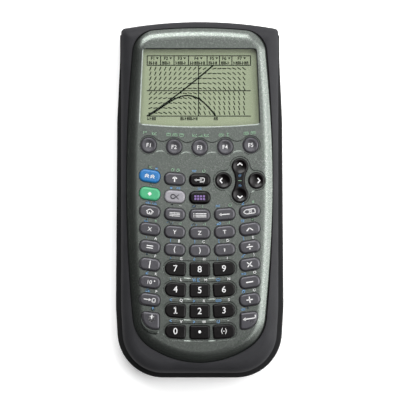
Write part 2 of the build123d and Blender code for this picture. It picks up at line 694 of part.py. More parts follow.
def batteries():
    """Four AAA cells side by side and the silver oxide backup cell."""
    cells = [cell((i - 1.5) * CELL_PITCH) for i in range(4)]
    middle = (BACKUP_BAY_Y[0] + BACKUP_BAY_Y[1]) / 2
    cells.append(post((0, middle), BACKUP_CELL_RADIUS, *BACKUP_CELL_Z))
    return Compound(children=cells)


def keypad_membrane(keys):
    """Silicone sheet with one pressed dome under each key and a pad under the rocker's pivot."""
    low, high = MEMBRANE_Y
    sheet = Pos(0, (low + high) / 2, 0) * Rectangle(2 * MEMBRANE_HALF_WIDTH, high - low)
    sheet &= face_outline(-LEDGE_WIDTH - MEMBRANE_EDGE_GAP)
    sheet = prism(sheet, MEMBRANE_Z, MEMBRANE_Z + MEMBRANE_THICKNESS)
    spots = [spot for _, spot, _ in keys.values()] + soft_key_spots()
    spots += [LEFT_LOBE, RIGHT_LOBE, UP_LOBE, DOWN_LOBE]
    for spot in spots:
        dome = Pos(spot[0], spot[1], MEMBRANE_Z + MEMBRANE_THICKNESS)
        height = DOME_TOP_Z - MEMBRANE_Z - MEMBRANE_THICKNESS
        sheet += dome * Cone(*DOME_RADII, height, align=(Align.CENTER, Align.CENTER, Align.MIN))
    x, y = PAD_CENTRE
    half, reach = PIVOT_HALF_WIDTH, PIVOT_HALF_LENGTH
    pivot_pad_z = (MEMBRANE_Z, PIVOT_Z - PIVOT_RADIUS - PIVOT_PAD_GAP)
    return sheet + slab((x - half, x + half), (y - reach, y + reach), pivot_pad_z)


def battery_contacts():
    """Contact plates at both ends of the cells."""
    plates = []
    half = CONTACT_HALF_WIDTH
    for y in (BAY_Y[0], BAY_Y[1] - CONTACT_THICKNESS):
        for i in range(4):
            x = (i - 1.5) * CELL_PITCH
            plates.append(slab((x - half, x + half), (y, y + CONTACT_THICKNESS), CONTACT_Z))
    return plates


def link_jack():
    """2.5 mm link jack under the board's top edge."""
    low_y = JACK_FACE_Y - JACK_DEPTH - JACK_BACK_WALL
    block_y = JACK_FACE_Y - JACK_NOSE_LENGTH
    wide = (JACK_X - JACK_HALF_WIDTH, JACK_X + JACK_HALF_WIDTH)
    block = slab(wide, (low_y, block_y), (JACK_Z - JACK_BELOW, BOARD_Z))
    nose = Pos(JACK_X, block_y, JACK_Z) * Rot(90, 0, 0) * Cylinder(JACK_NOSE_RADIUS, 2 * JACK_NOSE_LENGTH)
    bore = Pos(JACK_X, JACK_FACE_Y - JACK_DEPTH / 2, JACK_Z) * Rot(90, 0, 0)
    return block + nose - bore * Cylinder(JACK_BORE_RADIUS, JACK_DEPTH)


def usb_port():
    """Small five-pin port shell under the board's top edge."""
    half, tall = PORT_SHELL
    shell = slab((PORT_X - half, PORT_X + half), PORT_Y, (PORT_Z - tall, BOARD_Z))
    inside = (half - PORT_SHELL_WALL, tall - PORT_SHELL_WALL)
    shell -= port_block(inside, (PORT_Y[0] + 2 * PORT_SHELL_WALL, PORT_Y[1] + PAST))
    return shell + port_block(PORT_TONGUE, PORT_TONGUE_Y)


def circuit_board():
    """Main board with its chips, link jack, port and the cell contacts."""
    low, high = BOARD_Y
    outline = Pos(0, (low + high) / 2, 0) * Rectangle(2 * BOARD_HALF_WIDTH, high - low)
    outline = rounded(outline, both_sides([(BOARD_HALF_WIDTH, low)]), BOARD_LOW_CORNER)
    outline = rounded(outline, both_sides([(BOARD_HALF_WIDTH, high)]), BOARD_TOP_CORNER)
    for spot in screw_spots():
        outline -= Pos(*spot) * Circle(POST_RADIUS + FIT_GAP)
    pieces = [prism(outline, BOARD_Z, BOARD_Z + BOARD_THICKNESS)]
    pieces += [slab(x_range, y_range, (BOARD_Z - tall, BOARD_Z)) for x_range, y_range, tall in CHIPS]
    crystal = post(CRYSTAL_AT, CRYSTAL_RADIUS, BOARD_Z - CRYSTAL_HEIGHT, BOARD_Z)
    pieces += [crystal, link_jack(), usb_port()]
    return Compound(children=pieces + battery_contacts())


def screws():
    """Six identical pan-head screws, driven up from the back."""
    pieces = []
    reach, half = CROSS_SLOT
    head_z = HEAD_SEAT_Z - HEAD_HEIGHT
    slot_z = (head_z - PAST, head_z + CROSS_DEPTH)
    for x, y in screw_spots():
        screw = post((x, y), HEAD_RADIUS, head_z, HEAD_SEAT_Z)
        screw += post((x, y), SHANK_RADIUS - SCREW_FIT, HEAD_SEAT_Z, SCREW_TIP_Z)
        slot = slab((x - reach, x + reach), (y - half, y + half), slot_z)
        cross = slab((x - half, x + half), (y - reach, y + reach), slot_z)
        pieces.append(screw - slot - cross)
    return Compound(children=pieces)


def slide_case():
    """Hard cover pushed on from the lower end: floor, walls, rim flange and two guide rails."""
    outline = case_outline()
    case = prism(outline, 0, CASE_RIM_Z)
    walls = [edge for edge in case.edges() if edge.center().Y < CASE_MOUTH_Y - PAST]
    case = fillet([edge for edge in walls if edge.center().Z < CASE_FLOOR], CASE_FLOOR_RADIUS)
    walls = [edge for edge in case.edges() if edge.center().Y < CASE_MOUTH_Y - PAST]
    case = fillet([edge for edge in walls if edge.center().Z > CASE_RIM_Z - 0.01], CASE_RIM_RADIUS)
    inner = offset(outline, -CASE_WALL) + Pos(0, CASE_MOUTH_Y, 0) * Rectangle(*CASE_MOUTH_ROOM)
    case -= prism(inner, CASE_FLOOR, CASE_RIM_Z - CASE_FLANGE)
    neck = offset(back_outline(), FIT_GAP) + Pos(0, CASE_NECK_Y, 0) * Rectangle(*CASE_NECK_ROOM)
    case -= prism(neck, CASE_FLOOR, CASE_RIM_Z + PAST)
    wall_x = BODY_HALF_WIDTH - BACK_INSET + FIT_GAP
    rail_x = (wall_x - RAIL_DEPTH + CASE_RAIL_GAP, wall_x + CASE_RAIL_ROOT)
    rail_z = (RAIL_Z[0] + CASE_RAIL_PLAY, RAIL_Z[1] - CASE_RAIL_PLAY)
    rib_z = (CASE_FLOOR - 0.2, BACK_FACE_Z - FIT_GAP)
    for side in (-1, 1):
        case += slab(sorted(side * x for x in rail_x), CASE_RAIL_Y, rail_z)
        case += slab(sorted(side * x for x in CASE_RIB_X), CASE_RIB_Y, rib_z)
    return case


def main():
    keys = layout()
    parts = {
        "slide_case": slide_case(),
        "back_housing": back_housing(),
        "battery_door": battery_door(),
        "batteries": batteries(),
        "circuit_board": circuit_board(),
        "keypad_membrane": keypad_membrane(keys),
        "lcd_module": lcd_module(),
        "display_window": display_window(),
        "front_housing": front_housing(),
        "faceplate": faceplate(keys),
        "screws": screws(),
        "cursor_left_key": round_key(LEFT_LOBE, PAD_KEY_RADIUS, KEY_TOP_Z, *PAD_DISH),
        "cursor_right_key": round_key(RIGHT_LOBE, PAD_KEY_RADIUS, KEY_TOP_Z, *PAD_DISH),
        "cursor_rocker": rocker_key(),
    }
    for number, spot in enumerate(soft_key_spots(), start=1):
        parts[f"f{number}_key"] = round_key(spot, SOFT_KEY_RADIUS, LOW_KEY_TOP_Z, *SOFT_DISH)
    for name, (outline, spot, crown) in keys.items():
        parts[name] = key_solid(outline, spot, crown)
    for name, shape in parts.items():
        export_step(shape, f"parts/{name}.step")


main()
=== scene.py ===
import json
import math

import bmesh
import bpy
from mathutils import Matrix, Vector


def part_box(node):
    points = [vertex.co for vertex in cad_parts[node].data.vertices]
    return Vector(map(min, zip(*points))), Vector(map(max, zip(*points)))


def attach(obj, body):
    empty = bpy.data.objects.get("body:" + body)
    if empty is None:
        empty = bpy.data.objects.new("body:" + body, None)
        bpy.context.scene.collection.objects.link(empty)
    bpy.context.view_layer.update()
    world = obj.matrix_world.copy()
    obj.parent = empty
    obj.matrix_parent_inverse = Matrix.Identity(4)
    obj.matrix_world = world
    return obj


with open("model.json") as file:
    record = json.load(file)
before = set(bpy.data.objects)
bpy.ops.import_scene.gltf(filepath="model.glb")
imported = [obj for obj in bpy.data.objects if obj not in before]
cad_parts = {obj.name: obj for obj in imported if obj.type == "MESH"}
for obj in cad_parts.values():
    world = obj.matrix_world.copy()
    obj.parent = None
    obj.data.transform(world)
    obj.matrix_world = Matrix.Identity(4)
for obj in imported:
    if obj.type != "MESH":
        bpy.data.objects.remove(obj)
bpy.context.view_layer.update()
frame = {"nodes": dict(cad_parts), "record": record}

MM = 0.001
HOUSING = "calculator"

# ---- Sizes in millimetres that the looks share with the object ----
SMILE_RADIUS = 170.0
SOFT_ROW_RADIUS = 290.0
INK_HEIGHT = 0.03
CAP_WEIGHT = 1.3
FACE_WEIGHT = 1.6
SOFT_DISH = (2.9, 0.3)
PAD_DISH = (3.4, 0.7)
LEGEND_RISE = 4.72
DIGIT_LEGEND_RISE = 5.55
SOFT_LEGEND_RISE = 6.4
CORNER_LEGEND_RISE = 6.2
FACE_MARK_HEIGHT = 1.45
WAIST_MARK_HEIGHT = 1.5
CHEVRON_HEIGHT = 2.3
CHEVRON_OFFSET = 1.3
DIGIT_RISE = 0.3
CORNER_CAP_SHIFT = (0.3, 1.2, 0)
SUPERSCRIPT_HEIGHT = 0.9
SUPERSCRIPT_SHIFT = (2.4, 0.9, 0)
FLOOR_HALF = 3.0
FLOOR_LOW = -0.0002
FRAME_WIDTH = 211.6
FRAME_CENTRE = (0.16, 0.05)
REFERENCE_HEIGHT = 15.0
CAMERA_DISTANCE = 2.4
SENSOR_WIDTH = 36.0
ROOM_LEAN = (0.8, 0.8, 0.0)
ROOM_RANGE = (-0.45, 0.8, 0.03, 1.5)
FLOOR_GLOW = 0.32
BOARD_UNDERSIDE = 17.15

WHITE = "legend_white"
BLUE = "legend_blue"
GREEN = "legend_green"
PURPLE = "legend_purple"
DARK = "legend_dark"


# ======================= materials =======================

def linear(red, green, blue):
    """A colour given on the 0 to 255 display scale, as linear light."""
    return tuple((c / 255) ** 2.2 for c in (red, green, blue)) + (1.0,)


def blank_material(name):
    """A new material with only a Principled shader and its output."""
    material = bpy.data.materials.new(name)
    material.use_nodes = True
    nodes = material.node_tree.nodes
    nodes.clear()
    output = nodes.new("ShaderNodeOutputMaterial")
    shader = nodes.new("ShaderNodeBsdfPrincipled")
    material.node_tree.links.new(shader.outputs["BSDF"], output.inputs["Surface"])
    return material, shader


def noise(material, scale, detail=3.0, roughness=0.6):
    """Noise in object space, its scale in cycles a metre."""
    nodes, links = material.node_tree.nodes, material.node_tree.links
    place = nodes.new("ShaderNodeTexCoord")
    texture = nodes.new("ShaderNodeTexNoise")
    texture.inputs["Scale"].default_value = scale
    texture.inputs["Detail"].default_value = detail
    texture.inputs["Roughness"].default_value = roughness
    links.new(place.outputs["Object"], texture.inputs["Vector"])
    return texture.outputs["Fac"]


def ramp(material, value, stops):
    """The value run through a colour ramp of (position, colour) stops."""
    nodes, links = material.node_tree.nodes, material.node_tree.links
    node = nodes.new("ShaderNodeValToRGB")
    elements = node.color_ramp.elements
    while len(elements) < len(stops):
        elements.new(0.5)
    for element, (position, colour) in zip(elements, stops):
        element.position = position
        element.color = colour
    links.new(value, node.inputs["Fac"])
    return node.outputs["Color"]


def mixed(material, factor, first, second, kind="MIX"):
    """Two colours mixed by a factor or by a blend kind."""
    nodes, links = material.node_tree.nodes, material.node_tree.links
    node = nodes.new("ShaderNodeMix")
    node.data_type = "RGBA"
    node.blend_type = kind
    for value, socket in ((factor, node.inputs[0]), (first, node.inputs[6]), (second, node.inputs[7])):
        if isinstance(value, bpy.types.NodeSocket):
            links.new(value, socket)
        else:
            socket.default_value = value
    return node.outputs[2]


def spread(material, value, low, high):
    """A noise value, which mostly lies between 0.3 and 0.7, mapped onto a range."""
    nodes, links = material.node_tree.nodes, material.node_tree.links
    node = nodes.new("ShaderNodeMapRange")
    node.inputs["From Min"].default_value = 0.3
    node.inputs["From Max"].default_value = 0.7
    node.inputs["To Min"].default_value = low
    node.inputs["To Max"].default_value = high
    links.new(value, node.inputs["Value"])
    return node.outputs["Result"]


def bumped(material, shader, heights):
    """Adds bump layers of (height value, strength, distance in metres) to the shader."""
    nodes, links = material.node_tree.nodes, material.node_tree.links
    normal = None
    for value, strength, distance in heights:
        bump = nodes.new("ShaderNodeBump")
        bump.inputs["Strength"].default_value = strength
        bump.inputs["Distance"].default_value = distance
        links.new(value, bump.inputs["Height"])
        if normal:
            links.new(normal, bump.inputs["Normal"])
        normal = bump.outputs["Normal"]
    links.new(normal, shader.inputs["Normal"])


def tinted(colour, factor):
    return tuple(min(1.0, c * factor) for c in colour[:3]) + (1.0,)


def moulded(name, colour, roughness, grain=0.5, coat=0.0, speckle=0.12, shine=0.5, metallic=0.0):
    """Moulded plastic: fine spark-eroded grain, slight mottling and handling marks in the gloss."""
    material, shader = blank_material(name)
    links = material.node_tree.links
    fine = noise(material, 5200.0, detail=2.0)
    broad = noise(material, 55.0, detail=4.0)
    smear = noise(material, 140.0, detail=5.0, roughness=0.7)
    tone = ramp(material, broad, [(0.3, tinted(colour, 1 - speckle)), (0.7, tinted(colour, 1 + speckle))])
    fleck = ramp(material, fine, [(0.35, (0.86, 0.86, 0.86, 1)), (0.65, (1.14, 1.14, 1.14, 1))])
    links.new(mixed(material, 1.0, tone, fleck, "MULTIPLY"), shader.inputs["Base Color"])
    links.new(spread(material, smear, roughness - 0.05, roughness + 0.07), shader.inputs["Roughness"])
    shader.inputs["Specular IOR Level"].default_value = shine
    shader.inputs["Metallic"].default_value = metallic
    if coat:
        shader.inputs["Coat Weight"].default_value = coat
        shader.inputs["Coat Roughness"].default_value = 0.12
    bumped(material, shader, [(fine, grain, 0.00003), (smear, 0.05, 0.00005)])
    return material


def metal_flake(name):
    """Grey-green metallic lacquer: fine flakes in a satin finish."""
    material, shader = blank_material(name)
    nodes, links = material.node_tree.nodes, material.node_tree.links
    place = nodes.new("ShaderNodeTexCoord")
    flakes = nodes.new("ShaderNodeTexVoronoi")
    flakes.inputs["Scale"].default_value = 3400.0
    links.new(place.outputs["Object"], flakes.inputs["Vector"])
    flake_tone = nodes.new("ShaderNodeSeparateColor")
    links.new(flakes.outputs["Color"], flake_tone.inputs["Color"])
    dull, bright = linear(91, 96, 92), linear(121, 125, 121)
    stops = [(0.0, dull), (0.75, linear(100, 105, 101)), (1.0, bright)]
    flake = ramp(material, flake_tone.outputs["Red"], stops)
    cloud = noise(material, 900.0, detail=3.0)
    tint = ramp(material, cloud, [(0.35, (0.94, 0.97, 0.94, 1)), (0.65, (1.06, 1.03, 1.06, 1))])
    links.new(mixed(material, 1.0, flake, tint, "MULTIPLY"), shader.inputs["Base Color"])
    shader.inputs["Metallic"].default_value = 0.88
    smear = noise(material, 120.0, detail=5.0)
    links.new(spread(material, smear, 0.24, 0.27), shader.inputs["Roughness"])
    bumped(material, shader, [(flake_tone.outputs["Green"], 0.045, 0.00004), (cloud, 0.03, 0.00003)])
    return material


def lcd_glass(name):
    """The display's grey-green background, with the faint pixel grid of its cells."""
    material, shader = blank_material(name)
    nodes, links = material.node_tree.nodes, material.node_tree.links
    place = nodes.new("ShaderNodeTexCoord")
    split = nodes.new("ShaderNodeSeparateXYZ")
    links.new(place.outputs["Object"], split.inputs["Vector"])
    lines = []
    for axis in ("X", "Y"):
        wave = nodes.new("ShaderNodeMath")
        wave.operation = "PINGPONG"
        wave.inputs[1].default_value = PIXEL_PITCH * MM / 2
        links.new(split.outputs[axis], wave.inputs[0])
        line = nodes.new("ShaderNodeMath")
        line.operation = "LESS_THAN"
        line.inputs[1].default_value = PIXEL_PITCH * MM * 0.06
        links.new(wave.outputs[0], line.inputs[0])
        lines.append(line.outputs[0])
    grid = nodes.new("ShaderNodeMath")
    grid.operation = "MAXIMUM"
    links.new(lines[0], grid.inputs[0])
    links.new(lines[1], grid.inputs[1])
    cloud = noise(material, 26.0, detail=2.0)
    field = ramp(material, cloud, [(0.3, linear(141, 151, 123)), (0.7, linear(146, 156, 127))])
    colour = mixed(material, grid.outputs[0], field, linear(150, 160, 132))
    links.new(colour, shader.inputs["Base Color"])
    shader.inputs["Roughness"].default_value = 0.32
    bumped(material, shader, [(cloud, 0.02, 0.0001)])
    return material


def clear_plastic(name):
    """Clear acrylic with a few faint rubs."""
    material, shader = blank_material(name)
    links = material.node_tree.links
    rubs = noise(material, 420.0, detail=6.0, roughness=0.75)
    shader.inputs["Base Color"].default_value = (0.03, 0.035, 0.03, 1)
    shader.inputs["Alpha"].default_value = 0.08
    links.new(spread(material, rubs, 0.03, 0.11), shader.inputs["Roughness"])
    bumped(material, shader, [(rubs, 0.03, 0.00003)])
    return material


def printed(name, colour, roughness=0.5, shine=0.5):
    """Pad-printed ink, slightly uneven in density."""
    material, shader = blank_material(name)
    links = material.node_tree.links
    cover = noise(material, 2600.0, detail=3.0)
    tone = ramp(material, cover, [(0.25, tinted(colour, 0.86)), (0.6, colour)])
    links.new(tone, shader.inputs["Base Color"])
    shader.inputs["Specular IOR Level"].default_value = shine
    links.new(spread(material, cover, roughness - 0.06, roughness + 0.06), shader.inputs["Roughness"])
    bumped(material, shader, [(cover, 0.15, 0.00002)])
    return material


def circuit_board(name):
    """Green solder mask on the board, and black moulded cases on everything that hangs below it."""
    material = moulded(name, linear(34, 92, 52), 0.3, grain=0.5, coat=0.3)
    shader = material.node_tree.nodes["Principled BSDF"]
    nodes, links = material.node_tree.nodes, material.node_tree.links
    place = nodes.new("ShaderNodeTexCoord")
    split = nodes.new("ShaderNodeSeparateXYZ")
    links.new(place.outputs["Object"], split.inputs["Vector"])
    below = nodes.new("ShaderNodeMath")
    below.operation = "LESS_THAN"
    below.inputs[1].default_value = BOARD_UNDERSIDE * MM
    links.new(split.outputs["Z"], below.inputs[0])
    green = shader.inputs["Base Color"].links[0].from_socket
    links.new(mixed(material, below.outputs[0], green, linear(34, 34, 36)), shader.inputs["Base Color"])
    return material


def metal(name, colour, roughness):
    """Plated metal with fine turned scratches."""
    material, shader = blank_material(name)
    links = material.node_tree.links
    scratch = noise(material, 1800.0, detail=6.0, roughness=0.8)
    tone = ramp(material, scratch, [(0.3, tinted(colour, 0.8)), (0.7, colour)])
    links.new(tone, shader.inputs["Base Color"])
    shader.inputs["Metallic"].default_value = 1.0
    links.new(spread(material, scratch, roughness, roughness + 0.18), shader.inputs["Roughness"])
    bumped(material, shader, [(scratch, 0.1, 0.00003)])
    return material


def make_materials():
    """One material for each slot in the record, and the inks."""
    return {
        "faceplate_metallic": metal_flake("faceplate_metallic"),
        "body_plastic": moulded("body_plastic", linear(47, 47, 49), 0.5, grain=0.35, shine=0.12),
        "case_plastic": moulded("case_plastic", linear(31, 31, 32), 0.45, grain=0.25, shine=0.18),
        "grey_key": moulded("grey_key", linear(76, 75, 79), 0.3, grain=0.3, metallic=0.6),
        "black_key": moulded("black_key", linear(14, 11, 12), 0.22, grain=0.08, shine=0.25),
        "blue_key": moulded("blue_key", linear(32, 96, 150), 0.3, grain=0.15, speckle=0.06),
        "green_key": moulded("green_key", linear(62, 146, 104), 0.3, grain=0.15, speckle=0.06),
        "pale_key": moulded("pale_key", linear(130, 128, 133), 0.36, grain=0.2, speckle=0.05),
        "lcd_glass": lcd_glass("lcd_glass"),
        "clear_window": clear_plastic("clear_window"),
        "silicone": moulded("silicone", linear(150, 152, 155), 0.6, grain=0.4),
        "board": circuit_board("board"),
        "cell_can": metal("cell_can", linear(176, 150, 84), 0.25),
        "screw_steel": metal("screw_steel", linear(190, 190, 194), 0.28),
        "rubber": moulded("rubber", linear(30, 30, 31), 0.75, grain=0.6),
        "lcd_ink": printed("lcd_ink", linear(10, 16, 6), 0.4, shine=0.1),
        WHITE: printed(WHITE, linear(205, 205, 205)),
        BLUE: printed(BLUE, linear(88, 130, 170)),
        GREEN: printed(GREEN, linear(118, 150, 124)),
        PURPLE: printed(PURPLE, linear(112, 88, 140)),
        DARK: printed(DARK, linear(64, 62, 68)),
    }


def dress_nodes(materials):
    """Gives every CAD node the procedural material of its record slot."""
    slots = {part["node"]: part["material_slot"] for part in frame["record"]["subparts"]}
    for node, thing in frame["nodes"].items():
        mesh = thing.data
        mesh.materials.clear()
        mesh.materials.append(materials[slots[node]])


# ======================= printed marks =======================

class Print:
    """Collects printed marks, in millimetres, as thin closed plates in one mesh."""

    def __init__(self):
        self.bm = bmesh.new()

    def plate(self, outline, place):
        """A flat plate with the given outline, standing INK_HEIGHT proud of its place."""
        low = [self.bm.verts.new(place @ Vector((x, y, -INK_HEIGHT))) for x, y in outline]
        high = [self.bm.verts.new(place @ Vector((x, y, INK_HEIGHT))) for x, y in outline]
        count = len(outline)
        self.bm.faces.new(high)
        self.bm.faces.new(low[::-1])
        for i in range(count):
            j = (i + 1) % count
            self.bm.faces.new((low[i], low[j], high[j], high[i]))

    def stroke(self, points, width, place):
        """A pen stroke of the given width with round ends."""
        radius = width / 2
        for (ax, ay), (bx, by) in zip(points, points[1:]):
            heading = math.atan2(by - ay, bx - ax)
            outline = []
            for (cx, cy), start in (((bx, by), heading - math.pi / 2), ((ax, ay), heading + math.pi / 2)):
                for step in range(5):
                    turn = start + step * math.pi / 4
                    outline.append((cx + radius * math.cos(turn), cy + radius * math.sin(turn)))
            self.plate(outline, place)

    def disc(self, x, y, radius, place, sides=16):
        turns = [2 * math.pi * i / sides for i in range(sides)]
        self.plate([(x + radius * math.cos(t), y + radius * math.sin(t)) for t in turns], place)

    def text(self, body, height, place, weight=1.0):
        """Characters of the built-in face, centred, with capitals of the given height."""
        curve = bpy.data.curves.new("characters", "FONT")
        curve.body = body
        curve.size = height / 0.72
        curve.extrude = INK_HEIGHT
        curve.offset = height * 0.02 * (weight - 1)
        curve.resolution_u = 4
        thing = bpy.data.objects.new("characters", curve)
        mesh = bpy.data.meshes.new_from_object(thing)
        if mesh.vertices:
            xs = [v.co.x for v in mesh.vertices]
            ys = [v.co.y for v in mesh.vertices]
            centre = Vector(((min(xs) + max(xs)) / 2, (min(ys) + max(ys)) / 2, 0))
            mesh.transform(place @ Matrix.Translation(-centre))
            self.bm.from_mesh(mesh)
        bpy.data.meshes.remove(mesh)
        bpy.data.objects.remove(thing)
        bpy.data.curves.remove(curve)

    def mark(self, symbol, height, place, weight=1.0):
        """A drawn mark if there is one of that name, otherwise characters."""
        if symbol not in MARKS:
            self.text(symbol, height, place, weight)
            return
        scaled = place @ Matrix.Diagonal((height, height, 1, 1))
        for kind, *rest in MARKS[symbol]:
            if kind == "stroke":
                self.stroke(rest[1], rest[0] * weight, scaled)
            elif kind == "fill":
                self.plate(rest[0], scaled)
            elif kind == "dot":
                self.disc(*rest, scaled)
            elif kind == "arc":
                self.stroke(arc_points(*rest[1:]), rest[0] * weight, scaled)

    def object(self, name, material, body, dish=None):
        """The marks as an object on a body; dish sinks them into a round dish (centre, radius, depth)."""
        if dish:
            centre, radius, depth = dish
            for vertex in self.bm.verts:
                away = math.hypot(vertex.co.x - centre[0], vertex.co.y - centre[1])
                vertex.co.z -= depth * max(0.0, 1 - (away / radius) ** 2)
        mesh = bpy.data.meshes.new(name)
        bmesh.ops.scale(self.bm, vec=(MM, MM, MM), verts=self.bm.verts)
        bmesh.ops.recalc_face_normals(self.bm, faces=self.bm.faces)
        self.bm.to_mesh(mesh)
        self.bm.free()
        mesh.materials.append(material)
        thing = bpy.data.objects.new(name, mesh)
        bpy.context.scene.collection.objects.link(thing)
        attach(thing, body)
        return thing


def arc_points(x, y, radius, start, end, steps=12):
    """Points along an arc, angles in degrees."""
    turns = [math.radians(start + (end - start) * i / steps) for i in range(steps + 1)]
    return [(x + radius * math.cos(t), y + radius * math.sin(t)) for t in turns]


def box_points(half_x, half_y, x=0.0, y=0.0):
    corners = [(-half_x, -half_y), (half_x, -half_y), (half_x, half_y), (-half_x, half_y)]
    return [(x + dx, y + dy) for dx, dy in corners]


def closed(points):
    return points + points[:1]


